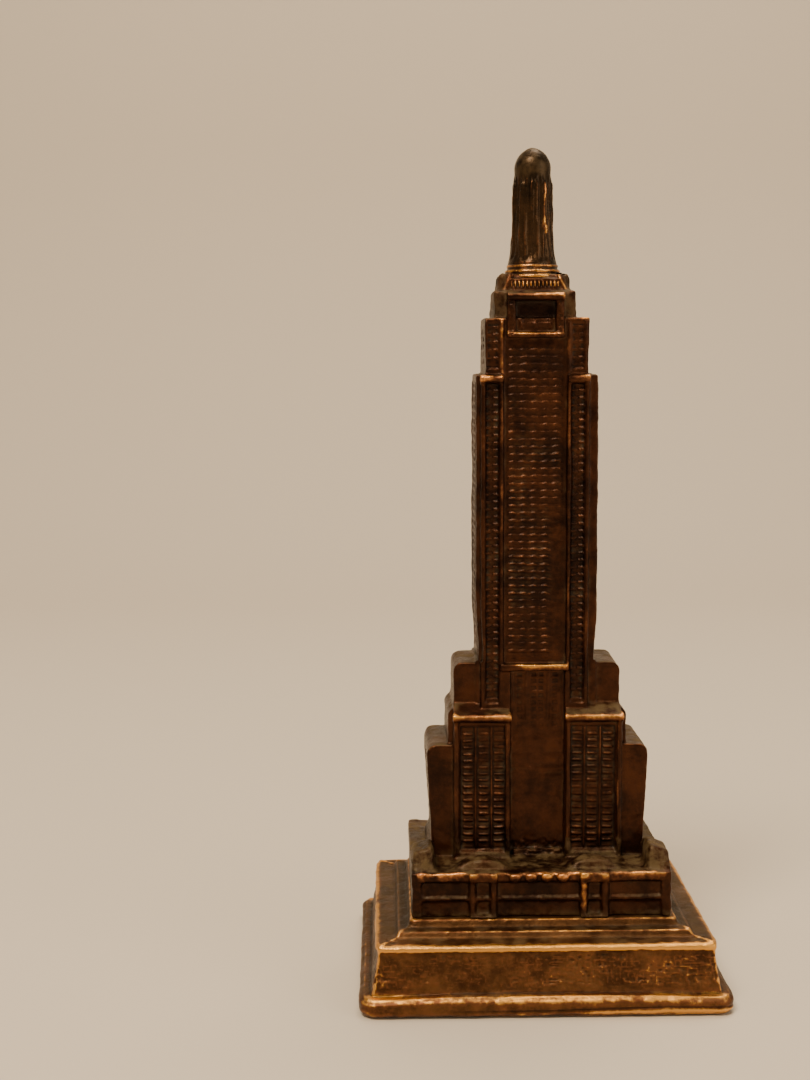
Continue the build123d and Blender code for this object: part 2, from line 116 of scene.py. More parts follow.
# Camera place in millimetres, angles in degrees, lens in millimetres.
CAMERA_PLACE = (-29.31, -302.01, 122.36)
CAMERA_YAW = 0.718
CAMERA_PITCH = 6.945
CAMERA_ROLL = -0.339
CAMERA_LENS = 52.0
SENSOR_WIDTH = 36.0

# Backdrop, in metres.
FLOOR_FRONT = -1.5
FLOOR_BACK = 0.45
WALL_TOP = 1.6
BACKDROP_HALF_WIDTH = 2.0
BEND_RADIUS = 0.25
BEND_STEPS = 12

# Colours.
DARK = (0.018, 0.0058, 0.0022, 1.0)
BROWN = (0.068, 0.0220, 0.0075, 1.0)
MAST_DARK = (0.022, 0.0125, 0.0058, 1.0)
MAST_BROWN = (0.068, 0.034, 0.014, 1.0)
PLINTH_DARK = (0.050, 0.0190, 0.0050, 1.0)
PLINTH_BROWN = (0.150, 0.065, 0.0210, 1.0)
COPPER = (0.70, 0.29, 0.10, 1.0)
BRASSY = (0.72, 0.37, 0.085, 1.0)
GOLD = (0.74, 0.37, 0.09, 1.0)
HALF_BARE = (0.19, 0.068, 0.026, 1.0)
DUST = (0.105, 0.070, 0.027, 1.0)
# Near-black for small hollows and for painted shade.
HOLLOW_AND_SHADE_DARK = (0.0055, 0.0028, 0.0016, 1.0)
PIT = (0.010, 0.005, 0.003, 1.0)
STEEL_DARK = (0.42, 0.41, 0.39, 1.0)
STEEL_LIGHT = (0.60, 0.59, 0.57, 1.0)
CARD_DARK = (0.26, 0.20, 0.13, 1.0)
CARD_LIGHT = (0.34, 0.27, 0.18, 1.0)
CARD_FLECK = (0.13, 0.10, 0.07, 1.0)
FELT_DARK = (0.012, 0.017, 0.012, 1.0)
FELT_LIGHT = (0.028, 0.036, 0.026, 1.0)
FELT_FIBRE = (0.07, 0.08, 0.06, 1.0)
PAPER_DARK = (0.68, 0.61, 0.51, 1.0)
PAPER_LIGHT = (0.70, 0.63, 0.53, 1.0)


# ---- arrays -------------------------------------------------------------------------------------
def smoothstep(low, high, value):
    """0 below low, 1 above high, and a smooth rise between."""
    t = np.clip((value - low) / (high - low), 0.0, 1.0)
    return t * t * (3.0 - 2.0 * t)


def span(value, low, high, soft):
    """1 between low and high, falling to 0 over a soft edge that lies inside."""
    return smoothstep(low, low + soft, value) * (1.0 - smoothstep(high - soft, high, value))


def bump(value, centre, half):
    """A bell of height 1 and the given half width."""
    return np.exp(-(((value - centre) / half) ** 2))


def lattice(ix, iy, iz, seed):
    """A fixed number from -1 to 1 for each lattice point."""
    h = ix.astype(np.uint32) * np.uint32(374761393)
    h = h + iy.astype(np.uint32) * np.uint32(668265263)
    h = h + iz.astype(np.uint32) * np.uint32(2246822519)
    h = h + np.uint32(seed * 3266489917 & 0xFFFFFFFF)
    h = (h ^ (h >> np.uint32(13))) * np.uint32(1274126177)
    h = h ^ (h >> np.uint32(16))
    return h.astype(np.float64) / 2147483648.0 - 1.0


def noise(points, size, seed):
    """Smooth noise from -1 to 1 whose lumps are about size across. size may differ by axis."""
    scaled = points / np.asarray(size, dtype=float) + 1000.0
    cell = np.floor(scaled).astype(np.int64)
    t = scaled - cell
    t = t * t * (3.0 - 2.0 * t)
    total = np.zeros(len(points))
    for dx in (0, 1):
        wx = t[:, 0] if dx else 1.0 - t[:, 0]
        for dy in (0, 1):
            wy = t[:, 1] if dy else 1.0 - t[:, 1]
            for dz in (0, 1):
                wz = t[:, 2] if dz else 1.0 - t[:, 2]
                corner = lattice(cell[:, 0] + dx, cell[:, 1] + dy, cell[:, 2] + dz, seed)
                total += wx * wy * wz * corner
    return total


def lumps(points, size, seed, octaves=3):
    """Noise with finer noise on top."""
    total = np.zeros(len(points))
    weight = 1.0
    size = np.asarray(size, dtype=float)
    for octave in range(octaves):
        total += weight * noise(points, size / 2**octave, seed + octave)
        weight *= 0.5
    return total


# ---- meshes as arrays ---------------------------------------------------------------------------
class Cast:
    """A closed mesh held as arrays in millimetres while its surface is worked."""

    def __init__(self, mesh):
        self.mesh = mesh
        count = len(mesh.vertices)
        self.points = np.empty(count * 3)
        mesh.vertices.foreach_get("co", self.points)
        self.points = self.points.reshape(-1, 3)
        edges = np.empty(len(mesh.edges) * 2, dtype=np.int32)
        mesh.edges.foreach_get("vertices", edges)
        self.edges = edges.reshape(-1, 2)
        ends = np.concatenate([self.edges[:, 0], self.edges[:, 1]])
        self.neighbours = np.maximum(np.bincount(ends, minlength=count), 1)

    def average(self, values):
        """The mean of each vertex's neighbours."""
        a = self.edges[:, 0]
        b = self.edges[:, 1]
        count = len(self.neighbours)
        if values.ndim == 1:
            total = np.bincount(a, values[b], count) + np.bincount(b, values[a], count)
            return total / self.neighbours
        columns = [self.average(values[:, i]) for i in range(values.shape[1])]
        return np.stack(columns, axis=1)

    def smoothed(self, values, steps):
        """Values relaxed towards their neighbours."""
        for _ in range(steps):
            values = values + RELAX_SHARE * (self.average(values) - values)
        return values

    def relax(self, steps, where=None):
        """Rounds the shape off, more where the mask is nearer 1."""
        if where is None:
            self.points = self.smoothed(self.points, steps)
            return
        moving = where > 0.0
        edges = self.edges[moving[self.edges[:, 0]] | moving[self.edges[:, 1]]]
        used, local = np.unique(edges, return_inverse=True)
        a, b = local.reshape(-1, 2).T
        degree = self.neighbours[used]
        share = (RELAX_SHARE * where[used] / degree)[:, None]
        shape = self.points[used]
        for _ in range(steps):
            total = np.empty_like(shape)
            for i in range(3):
                column = shape[:, i]
                total[:, i] = np.bincount(a, column[b], len(used))
                total[:, i] += np.bincount(b, column[a], len(used))
            shape = shape + share * (total - degree[:, None] * shape)
        self.points[used] = shape

    def swell(self, height):
        """Moves the surface out along its own normals."""
        self.points = self.points + self.normals() * height[:, None]

    def store(self):
        """Writes the points back to the mesh."""
        self.mesh.vertices.foreach_set("co", self.points.ravel())
        self.mesh.update()

    def normals(self):
        """Outward normals of the points as they are now."""
        self.store()
        out = np.empty(len(self.points) * 3)
        self.mesh.vertex_normals.foreach_get("vector", out)
        return out.reshape(-1, 3)

    def keep(self, name, values):
        """Stores one number per vertex for the materials."""
        layer = self.mesh.attributes.new(name, "FLOAT", "POINT")
        layer.data.foreach_set("value", np.ascontiguousarray(values, dtype=np.float32))


def evaluated_mesh(piece):
    """The piece's mesh with its modifiers applied."""
    graph = bpy.context.evaluated_depsgraph_get()
    return bpy.data.meshes.new_from_object(piece.evaluated_get(graph), depsgraph=graph)


def with_modifier(mesh, kind, **settings):
    """A new mesh: this one with one modifier applied."""
    piece = bpy.data.objects.new("work", mesh)
    bpy.context.scene.collection.objects.link(piece)
    modifier = piece.modifiers.new("work", kind)
    for key, value in settings.items():
        setattr(modifier, key, value)
    result = evaluated_mesh(piece)
    bpy.data.objects.remove(piece)
    return result


def cast_of(node, voxel):
    """The CAD node's closed shape, remeshed into even small faces."""
    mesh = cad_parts[node].data.copy()
    mesh.transform(Matrix.Scale(1.0 / MM, 4))
    work = bmesh.new()
    work.from_mesh(mesh)
    bmesh.ops.remove_doubles(work, verts=work.verts, dist=WELD_GAP)
    work.to_mesh(mesh)
    work.free()
    remeshed = with_modifier(mesh, "REMESH", mode="VOXEL", voxel_size=voxel, use_smooth_shade=True)
    return Cast(remeshed)


def finish_cast(cast, node, piece_name, triangles, material):
    """Thins the mesh where it is flat, makes the piece and puts it in the CAD node's place."""
    low = np.array(CAD_BOX[0]) / MM
    high = np.array(CAD_BOX[1]) / MM
    cast.points = np.clip(cast.points, low + BOX_INSET, high - BOX_INSET)
    cast.store()
    faces = sum(len(p.vertices) - 2 for p in cast.mesh.polygons)
    mesh = cast.mesh
    if faces > triangles:
        mesh = with_modifier(mesh, "DECIMATE", ratio=triangles / faces, use_collapse_triangulate=True)
    mesh.transform(Matrix.Scale(MM, 4))
    mesh.name = piece_name
    mesh.polygons.foreach_set("use_smooth", [True] * len(mesh.polygons))
    piece = bpy.data.objects.new(piece_name, mesh)
    bpy.context.scene.collection.objects.link(piece)
    mesh.materials.clear()
    mesh.materials.append(material)
    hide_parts(node)
    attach(piece, "root")
    return piece


def convexity(cast):
    """How far the surface stands proud of its surroundings, close by and further off."""
    normals = cast.normals()
    near = cast.smoothed(cast.points, 3)
    far = cast.smoothed(near, 14)
    fine = np.einsum("ij,ij->i", cast.points - near, normals)
    broad = np.einsum("ij,ij->i", cast.points - far, normals)
    return normals, cast.smoothed(fine, 1), cast.smoothed(broad, 2)


def keep_finish(cast, rub, fine, broad, normals, dusty=0.0, shaded=0.0):
    """Stores where the metal is rubbed bright, where dust lies, and where the colour is made darker: in
    small hollows, and as painted shade where shaded asks for it.
    """
    patches = lumps(cast.points, 4.0, 301, 3)
    ledge = smoothstep(0.45, 0.95, normals[:, 2]) * smoothstep(-0.7, 0.5, patches)
    crevice = smoothstep(0.02, 0.14, -broad) * smoothstep(-0.4, 0.6, patches)
    cast.keep("rub", np.clip(rub, 0.0, 1.0))
    cast.keep("dust", np.clip(np.maximum(ledge, 0.8 * crevice) + dusty, 0.0, 1.0))
    # Darker in small hollows, plus painted shade from shaded.
    cast.keep("hollow_dark_and_shade", np.clip(smoothstep(0.006, 0.05, -fine) + shaded, 0.0, 1.0))


# ---- tower relief -------------------------------------------------------------------------------
def pits(across, z, centres, half, foot, top, pitch):
    """Sunk window panes in columns and rows: 1 in a pane, 0 between."""
    rows = 1.0 - smoothstep(0.22, 0.44, np.abs((z - foot) / pitch % 1.0 - 0.5))
    rows = rows * span(z, foot, top, 0.2)
    columns = np.zeros(len(z))
    for centre in centres:
        columns = columns + 1.0 - smoothstep(half - 0.15, half + 0.15, np.abs(across - centre))
    return rows * columns


def dashes(across, z, centres, half, foot, top, pitch):
    """Short thin raised bars in columns and rows: 1 on a bar, 0 on the ground between."""
    rows = smoothstep(0.0, 1.0, np.cos(2 * math.pi * (z - foot) / pitch)) * span(z, foot, top, 0.3)
    columns = np.zeros(len(z))
    for centre in centres:
        columns = columns + 1.0 - smoothstep(half - 0.15, half + 0.15, np.abs(across - centre))
    return rows * columns


def bars(across, z, count, pitch, foot, top):
    """Rows of thin raised bars, each fuller where it passes a window."""
    column = np.cos(2 * math.pi * across / pitch)
    row = np.cos(2 * math.pi * (z - 0.07 * column - foot) / ROW_PITCH)
    bar = smoothstep(0.0, 1.0, row) * (0.80 + 0.20 * smoothstep(-0.4, 0.8, column))
    reach = count * pitch / 2
    return bar * span(across, -reach, reach, 0.2) * span(z, foot, top, 0.3)


def bead(across, z, at, foot, top, half=0.3):
    """A thin upright line."""
    return bump(across, at, half) * span(z, foot, top, 0.6)


def bay_relief(points, worn):
    """The low relief of the shaft's bays: the long recess, the side strips and the shoulders."""
    x, y, z = points.T
    u = x - UPPER_X
    a = np.abs(u)
    wavy = z + ROW_WANDER * noise(points, (5.0, 5.0, 3.0), 101)
    rubbed_off = 1.0 - smoothstep(2.6, 3.8, u) * (1.0 - smoothstep(86.0, 100.0, z)) * (y < 0)
    h = 0.34 * worn * rubbed_off * bars(u, wavy, RECESS_COLUMNS, RECESS_COLUMN_PITCH, 63.4, 122.6)
    ground = span(a, 6.85, 9.35, 0.3)
    h = h - 0.30 * ground * span(z, 55.4, 116.4, 0.5)
    h = h + 0.32 * worn * dashes(a, wavy, (7.45, 8.75), 0.48, 55.8, 116.0, ROW_PITCH)
    h = h + 0.28 * worn * dashes(a, wavy, (7.5, 8.6), 0.42, 119.4, 127.0, ROW_PITCH)
    h = h - 0.30 * span(a, 6.75, 9.25, 0.5) * span(z, 118.6, 127.4, 0.5)
    h = h + 0.22 * bead(a, z, STRIP_LINE, 62.0, 127.8, 0.34)
    h = h + 0.12 * bead(a, z, 9.75, 55.0, 117.0, 0.3)
    h = h + 0.20 * bead(a, z, 9.45, 118.2, 127.9, 0.3)
    return h


def block_relief(points, worn):
    """Three columns of panes between thin mullions on each block."""
    z = points[:, 2]
    b = np.abs(points[:, 0] - LOWER_X)
    wavy = z + ROW_WANDER * noise(points, (5.0, 5.0, 3.0), 103)
    h = -0.32 * span(b, 6.3, 15.0, 0.3) * span(z, 26.0, 50.8, 0.5)
    h = h + 0.36 * worn * dashes(b, wavy, BLOCK_PANES, 0.92, 26.6, 50.4, BLOCK_ROW_PITCH)
    for at in BLOCK_MULLIONS:
        h = h + 0.46 * bead(b, z, at, 26.2, 50.6, 0.2)
    for at in BLOCK_EDGES:
        h = h + 0.14 * bead(b, z, at, 25.5, 52.0, 0.3)
    return h


def entrance_relief(points, worn):
    """Faint windows high on the entrance bay, and the crumbled ornament at its door."""
    z = points[:, 2]
    v = points[:, 0] - LOWER_X
    b = np.abs(v)
    h = -0.22 * worn * pits(b, z, (0.7, 3.4), 0.55, 49.8, 60.6, ROW_PITCH)
    for at in (2.1, 4.9):
        h = h + 0.22 * bead(b, z, at, 51.0, 61.0, 0.22)
    h = h + 0.15 * span(z, 38.0, 50.0, 2.0) * noise(points, (3.5, 3.5, 0.8), 113)
    patch_edge = bump(z, 36.6 - 0.04 * v**2, 0.3) * (b < 4.6)
    h = h + 0.06 * patch_edge
    crumbs = span(b, -5.4, 5.4, 0.8) * span(z, PODIUM_TOP - 0.2, PODIUM_TOP + 3.4, 0.9)
    return h + 0.34 * crumbs * lumps(points, 1.1, 111, 2)


def niche_relief(points):
    """The small framed window in the lower half of the niche, and the teeth over the lintel."""
    z = points[:, 2]
    u = points[:, 0] - UPPER_X
    a = np.abs(u)
    h = 0.24 * bead(a, z, 2.7, 125.9, 128.4, 0.28)
    h = h + 0.18 * bead(a, z, 0.0, 125.9, 128.0, 0.25)
    h = h + 0.20 * bump(z, 127.1, 0.25) * (a < 2.8) * (z < 128.3)
    h = h * (a < 3.6)
    h = h + 0.22 * frieze(points) * np.cos(2 * math.pi * u / DENTIL_PITCH)
    h = h + 0.22 * bump(z, 135.35, 0.2) * (a < 4.6)
    ragged = span(a, 4.0, 5.6, 0.3) * span(z, 124.8, 132.0, 0.5)
    return h + 0.26 * ragged * lumps(points, 0.9, 117, 2)


def frieze(points):
    """The toothed band over the lintel: 1 on the band."""
    x, y, z = points.T
    return span(np.abs(x - UPPER_X), -1.0, 4.6, 0.2) * span(z, 133.9, 135.2, 0.25) * (np.abs(y) > 5.0)


def hips(points):
    """How far a point of the crown's cap lies outside the slanting ridge beside the toothed band."""
    return np.abs(points[:, 0] - UPPER_X) - 4.75 - 0.55 * (CAP_TOP - points[:, 2])


def rings(z):
    """The rounded bands stacked round the mast's foot: 1 on a crest, -1 between."""
    return np.cos(2 * math.pi * (z - LOWEST_RING) / RING_PITCH)


def lip_relief(points):
    """Round scallops hanging along the lip between the porches, and the porches' capitals."""
    x, y, z = points.T
    u = x - UPPER_X
    h = np.zeros(len(z))
    for i in range(SCALLOP_COUNT):
        at = SCALLOP_PITCH * (i - (SCALLOP_COUNT - 1) / 2)
        h = h + 0.30 * bump(u, at, 0.9) * bump(z, PODIUM_TOP - 0.8, 0.8)
    for porch in (-PORCH_AT, PORCH_AT):
        for column in (-PORCH_COLUMN_AT, PORCH_COLUMN_AT):
            h = h + 0.30 * bump(u, porch + column, 0.8) * bump(z, PODIUM_TOP - 0.7, 0.7)
    return h * (y < -17.6)


def side_relief(points, worn):
    """Windows on the narrow sides of the shaft and of the tiers below it."""
    y = points[:, 1]
    z = points[:, 2]
    wavy = z + ROW_WANDER * noise(points, (5.0, 5.0, 3.0), 107)
    h = -0.26 * worn * pits(y, wavy, (-3.9, -1.3, 1.3, 3.9), 0.72, 64.4, 115.8, ROW_PITCH)
    for at in (-5.5, 5.5):
        h = h + 0.16 * bead(y, z, at, 63.4, 116.6, 0.3)
    h = h - 0.20 * worn * pits(y, wavy, (-4.6, -1.6, 1.6, 4.6), 0.8, 27.4, 43.4, ROW_PITCH)
    h = h - 0.22 * worn * pits(y, wavy, (-3.6, 0.0, 3.6), 0.8, 119.4, 126.4, ROW_PITCH)
    return h


def shape_tower(cast):
    """Soft cast edges, the low relief, then the wander and pocks of a slush casting."""
    cast.relax(6)
    x, y, z = cast.points.T
    niche = (np.abs(x - UPPER_X) < 5.8) * (np.abs(y) > 6.8) * (z < 134.0)
    cast.relax(12, smoothstep(128.0, 129.5, z) * (1.0 - niche))
    x, y, z = cast.points.T
    mound = span(z, PODIUM_TOP - 0.3, 29.5, 0.5) * (y < -8.6)
    cast.relax(36, mound * (1.0 - span(y, -10.2, 0.0, 0.4) * (np.abs(x - LOWER_X) < 18.6)))
    front = cast.points[:, 1] < -16.4
    cast.relax(14, span(cast.points[:, 2], 15.2, 22.4, 0.8) * front)
    cast.relax(5, span(cast.points[:, 2], 22.0, 25.0, 0.6) * front)

    x, y, z = cast.points.T
    axis_distance = np.hypot(x - UPPER_X, y)
    top_face = smoothstep(CAP_TOP - 1.0, CAP_TOP, z) * (z < CAP_TOP + 0.4)
    skirt = 0.5 * (1.0 - smoothstep(5.6, 7.2, axis_distance)) * top_face
    beside = 1.0 - smoothstep(4.0, 5.2, np.abs(y))
    skirt = skirt + 0.6 * (1.0 - smoothstep(5.2, 7.0, np.abs(x - UPPER_X))) * beside * top_face
    pedestal = (z > PODIUM_TOP + 1.5) * (z < 30.0) * (np.abs(x - LOWER_X) > 19.5) * (y < -8.8)
    tilt = -0.30 * (np.abs(x - LOWER_X) - 22.6) * pedestal
    cast.points[:, 2] += skirt + tilt
    x, y, z = cast.points.T
    chamfer = smoothstep(0.0, 1.6, hips(cast.points)) * span(z, 133.2, 138.0, 0.4) * (np.abs(y) > 3.8)
    cast.points[:, 1] -= 1.3 * np.sign(y) * chamfer

    v = cast.points[:, 0] - LOWER_X
    lean = smoothstep(17.5, 19.5, np.abs(v)) * (1.0 - smoothstep(26.0, 45.0, z))
    lean = lean * smoothstep(PODIUM_TOP + 0.5, PODIUM_TOP + 3.0, z) * (np.abs(cast.points[:, 1]) < 9.5)
    cast.points[:, 0] -= 0.036 * v * lean
    waist = bump(z, 65.0, 5.0) * smoothstep(9.0, 11.0, np.abs(v)) * (np.abs(v) < 12.5) * (z > 62.8)
    cast.points[:, 0] -= 0.035 * v * waist

    normals = cast.normals()
    x, y, z = cast.points.T
    worn = 0.62 + 0.38 * smoothstep(-0.7, 0.5, lumps(cast.points, 9.0, 11))
    facing_y = smoothstep(0.6, 0.85, np.abs(normals[:, 1])) * (normals[:, 1] * y > 0)
    facing_y = facing_y * (np.abs(y) > 5.2)
    facing_x = smoothstep(0.6, 0.85, np.abs(normals[:, 0])) * (normals[:, 0] * (x - LOWER_X) > 0)
    outer_side = (np.abs(x - LOWER_X) > np.where(z > 47.0, 9.0, 19.6)) & (z > PODIUM_TOP + 1.0)
    a = np.abs(x - UPPER_X)
    b = np.abs(x - LOWER_X)
    on_block = span(b, 5.2, 16.4, 0.1) * (z < BLOCK_TOP) * (np.abs(y) > 8.8)
    on_entrance = (b < 5.4) * (z < ENTRANCE_TOP)
    on_bay = (z > 54.2) * (1.0 - on_entrance) * (1.0 - (b < 5.6) * (z > 124.8))
    height = on_bay * bay_relief(cast.points, worn)
    height = height + on_block * block_relief(cast.points, worn)
    height = height + on_entrance * (y < 0) * entrance_relief(cast.points, worn)
    height = height + (z > 124.6) * niche_relief(cast.points)
    height = height + (z < PODIUM_TOP + 0.6) * lip_relief(cast.points)
    height = height * facing_y + side_relief(cast.points, worn) * facing_x * outer_side
    height = height + 0.12 * rings(z) * span(z, 135.6, 138.0, 0.3) * (np.hypot(x - UPPER_X, y) < 7.0)
    cast.points += normals * height[:, None]

    on_podium = span(z, PODIUM_TOP - 0.4, 28.5, 0.5) * (np.abs(y) > 9.0)
    cast.swell(0.11 * lumps(cast.points, 7.0, 21, 2) + 0.15 * on_podium * lumps(cast.points, 2.6, 27, 2))
    rough_parts = np.maximum(smoothstep(128.4, 129.4, z) * (a > 5.5), 0.6 * span(z, 15.4, 23.0, 1.0))
    cast.swell(0.15 * rough_parts * lumps(cast.points, 1.5, 29, 2))
    cast.swell(0.08 * lumps(cast.points, 2.1, 31, 2) + 0.040 * noise(cast.points, 0.7, 37))


def finish_tower(cast):
    """Rubs the ledges, rolls and frames that stand proud, leaves the window rows dark, and paints shade
    into the niche and under the podium's lip.
    """
    normals, fine, broad = convexity(cast)
    x, y, z = cast.points.T
    up = normals[:, 2]
    a = np.abs(x - UPPER_X)
    v = x - LOWER_X
    b = np.abs(v)
    reach = np.abs(y)
    patch = smoothstep(-0.9, 0.5, lumps(cast.points, 6.0, 201, 2))
    broken = smoothstep(-0.5, 0.7, lumps(cast.points, (2.0, 2.0, 7.0), 205, 2))
    edge = smoothstep(0.03, 0.14, broad + 0.6 * fine)
    window = smoothstep(0.008, 0.035, fine)
    lower = z < PODIUM_TOP + 6.0
    rub = edge * (0.05 + 0.36 * smoothstep(0.1, 0.8, up)) * np.where(lower, 0.5, 1.0)
    rub = rub + window * np.where((a < 5.6) & (z > 62.0), 0.10, 0.06)

    proud = smoothstep(-0.02, 0.06, broad)
    shine = 0.9 * bump(z, RECESS_SILL, 0.7) * (a < 7.0) * (reach > 7.8)
    shine = shine + 1.1 * bump(z, BODY_TOP - 0.5, 1.0) * (a > 5.8) * (a < 10.8) * (reach > 7.4)
    shine = shine + 0.75 * bump(z, BLOCK_TOP - 0.5, 0.8) * (b > 5.0) * (b < 16.6) * (reach > 9.0)
    shine = shine + 1.0 * bump(z, NICHE_LINTEL, 0.7) * (a < 5.8) * (reach > 7.2)
    shine = shine + (bump(z, NICHE_SILL, 0.35) + 0.35 * bump(z, 124.6, 0.8)) * (a < 5.8) * (reach > 7.4)
    shine = shine + 0.4 * bump(z, SHOULDER_TOP, 0.6) * (a > 6.0) * (reach > 6.8)
    on_lip = (y < -17.7) * (b < 23.5)
    shine = shine + 0.8 * bump(z, PODIUM_TOP - 0.5, 0.9) * on_lip
    golden_column = bump(x - UPPER_X, BRIGHT_COLUMN, 0.9)
    shine = shine + (0.15 + 0.9 * golden_column) * span(z, 16.5, 23.5, 1.5) * (y < -18.1)
    upright = 0.9 * bump(a, STRIP_LINE, 0.5) * (z > BODY_TOP) * (z < 128.3) * (reach > 7.0)
    on_body = (z > 62.0) * (z < BODY_TOP) * (reach > 8.0)
    upright = upright + 0.55 * broken * bump(a, STRIP_LINE, 0.22) * on_body
    upright = upright + 0.30 * bump(a, STRIP_LINE, 0.4) * span(z, 98.0, 119.0, 8.0) * (reach > 8.0)
    upright = upright + 0.5 * broken * bump(a, 5.25, 0.3) * span(z, 125.0, 133.0, 0.6) * (reach > 7.6)
    for at in BRIGHT_MULLIONS:
        upright = upright + 0.55 * broken * bump(v, at, 0.2) * (z > 26.0) * (z < 51.0) * (y < -9.2)
    for at in BLOCK_MULLIONS:
        upright = upright + 0.35 * broken * bump(b, at, 0.2) * (z > 26.0) * (z < 51.0) * (reach > 9.2)
    patch = np.maximum(patch, 0.75 * on_lip)
    rub = rub + proud * patch * (shine * (0.6 + 0.4 * smoothstep(-0.4, 0.5, up)) + upright * 0.8)

    band = frieze(cast.points)
    rub = rub + band * (0.42 + 0.5 * smoothstep(-0.01, 0.03, fine))
    ridge = bump(hips(cast.points), 0.1, 0.28) * span(z, 133.3, 136.4, 0.3) * (reach > 4.0)
    rub = rub + 0.7 * ridge

    in_niche = (a < 3.9) * span(z, 125.9, 131.6, 0.4) * (reach > 6.0) * (reach < 8.0)
    rub = rub * (1.0 - 0.7 * in_niche)
    foot = (1.0 - smoothstep(0.0, 2.2, z - PODIUM_TOP)) * (z > PODIUM_TOP - 0.3)
    pedestal = (z > PODIUM_TOP) * (z < 30.0) * (b > 19.5) * (y < -8.8)
    on_podium = (z > PODIUM_TOP + 0.1) * (z < 28.6) * (reach > 9.6)
    rub = rub * (1.0 - 0.85 * on_podium * (b > 5.4))
    mid_band = 0.7 * bump(z, 19.7, 0.35) * smoothstep(0.2, 0.6, up)
    flank = 0.5 * (z > 128.5) * (a > 5.4)
    wall_foot = 0.7 * (1.0 - smoothstep(15.9, 17.4, z)) * (z > 15.4)
    dusty = 0.45 * foot * patch + 0.5 * pedestal + mid_band + flank + 0.6 * on_podium + wall_foot
    # Painted shade: the niche's upper part under the lintel, and the podium walls below the lip away
    # from edges.
    shaded = 0.9 * in_niche * smoothstep(127.6, 128.6, z) + 0.3 * (z < PODIUM_TOP - 1.5) * (1.0 - edge)
    keep_finish(cast, rub * (0.5 + 0.5 * patch), fine, broad, normals, dusty, shaded)


def shape_mast(cast):
    """A rough, fluted shaft, like wax that has run, under a smooth dome."""
    cast.relax(6)
    z = cast.points[:, 2]
    cast.relax(24, span(z, 139.0, 157.5, 2.0))
    cast.relax(40, span(cast.points[:, 2], 151.0, 156.0, 1.0))
    normals = cast.normals()
    x, y, z = cast.points.T
    side = 1.0 - smoothstep(0.5, 0.8, np.abs(normals[:, 2]))
    shaft = span(z, 138.6, 155.4, 1.5) * side
    angle = np.arctan2(y, x - UPPER_X)
    run = lumps(cast.points, (0.9, 0.9, 6.0), 41, 3)
    flutes = np.cos(angle * FLUTE_COUNT + 1.3 * noise(cast.points, (3.0, 3.0, 5.0), 47))
    cast.swell(shaft * (0.15 * run + 0.07 * flutes) + 0.03 * lumps(cast.points, 1.4, 51, 3))
    banded = rings(z) * span(z, 135.3, 138.6, 0.3) * side
    cast.swell(0.24 * mast_drip(cast.points) * side + 0.12 * banded)


def mast_drip(points):
    """The ridge of run metal down the right of the mast's front, fuller at its foot."""
    x, y, z = points.T
    along = np.arctan2(y, x - UPPER_X) * MAST_RADIUS
    centre = math.radians(DRIP_BEARING) * MAST_RADIUS + 0.40 * noise(points, (9.0, 9.0, 1.9), 57)
    drop = bump(z, DRIP_DROP, 1.1)
    width = 0.26 + 0.26 * drop
    return bump(along, centre, width) * span(z, 143.6, 154.4, 1.0) * (0.7 + 0.4 * drop)


def finish_mast(cast):
    """Rubs the run of metal and the rings at the mast's foot."""
    normals, fine, broad = convexity(cast)
    z = cast.points[:, 2]
    patch = smoothstep(-0.6, 0.5, lumps(cast.points, (1.0, 1.0, 0.9), 211, 2))
    rub = smoothstep(0.02, 0.10, broad + fine) * 0.36
    rub = rub + 1.05 * mast_drip(cast.points) * (0.25 + 0.75 * patch)
    low = 1.0 - smoothstep(137.5, 140.0, z)
    rub = rub + low * (0.28 + 0.45 * smoothstep(-0.01, 0.02, fine)) * (0.4 + 0.6 * patch)
    keep_finish(cast, rub, fine, broad, normals, 0.5 * smoothstep(DOME_FOOT, 156.0, z))


def crinkle(points):
    """A crinkled ground: short, crowded dents, mostly level, that come and go in patches."""
    z = points[:, 2]
    level = 1.0 - np.abs(noise(points, (1.5, 1.5, 0.5), 61))
    upright = 1.0 - np.abs(noise(points, (0.55, 0.55, 1.3), 63))
    patches = smoothstep(-0.7, 0.3, lumps(points, (8.0, 8.0, 4.0), 65, 2))
    high = smoothstep(4.6, 6.0, z) * (1.0 - smoothstep(11.2, 12.2, z))
    return high * (0.35 + 0.65 * patches) * (np.maximum(level, 0.9 * upright) - 0.75)


